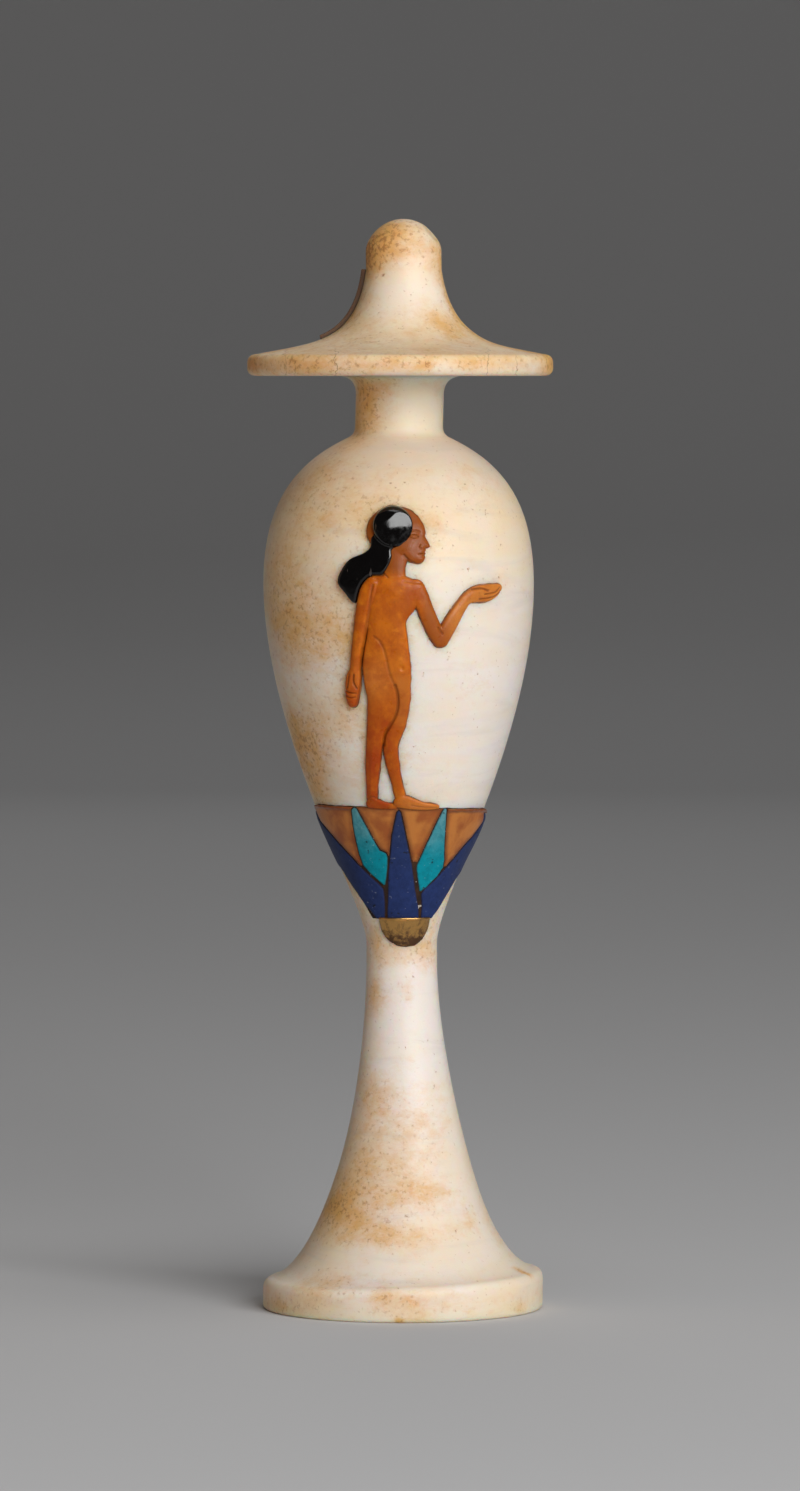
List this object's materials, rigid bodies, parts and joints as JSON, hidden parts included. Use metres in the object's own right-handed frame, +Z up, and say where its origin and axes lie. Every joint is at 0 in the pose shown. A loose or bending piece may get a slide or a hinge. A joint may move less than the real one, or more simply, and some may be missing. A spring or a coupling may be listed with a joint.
{
  "type": "perfume jar",
  "caption": "Tall travertine perfume jar with a flared foot, lift-off disc lid and an inlaid standing figure over a lotus.",
  "frame": {"origin": "on the ground, at the middle of the jar's outline seen from above", "axes": "+Z up along the jar's axis, -Y out of the inlaid front, +X towards the figure's raised hand"},
  "size_m": [0.0304, 0.0304, 0.108],
  "materials": {
    "travertine": "polished cream travertine with faint bands and honey-brown stains",
    "carnelian": "polished orange-brown carnelian",
    "obsidian": "polished black obsidian",
    "blue_glass": "opaque dark blue glass, weathered",
    "turquoise_glass": "opaque turquoise glass, weathered",
    "gold": "worn gold with brown soiling"
  },
  "bodies": {
    "root": {"vase": "travertine", "lid": "travertine", "calyx": "gold", "blue_sepal_left": "blue_glass", "blue_sepal_middle": "blue_glass", "blue_sepal_right": "blue_glass", "turquoise_petal_left": "turquoise_glass", "turquoise_petal_right": "turquoise_glass", "carnelian_petal_outer_left": "carnelian", "carnelian_petal_inner_left": "carnelian", "carnelian_petal_inner_right": "carnelian", "carnelian_petal_outer_right": "carnelian", "hair": "obsidian", "figure": "carnelian"}
  },
  "joints": []
}
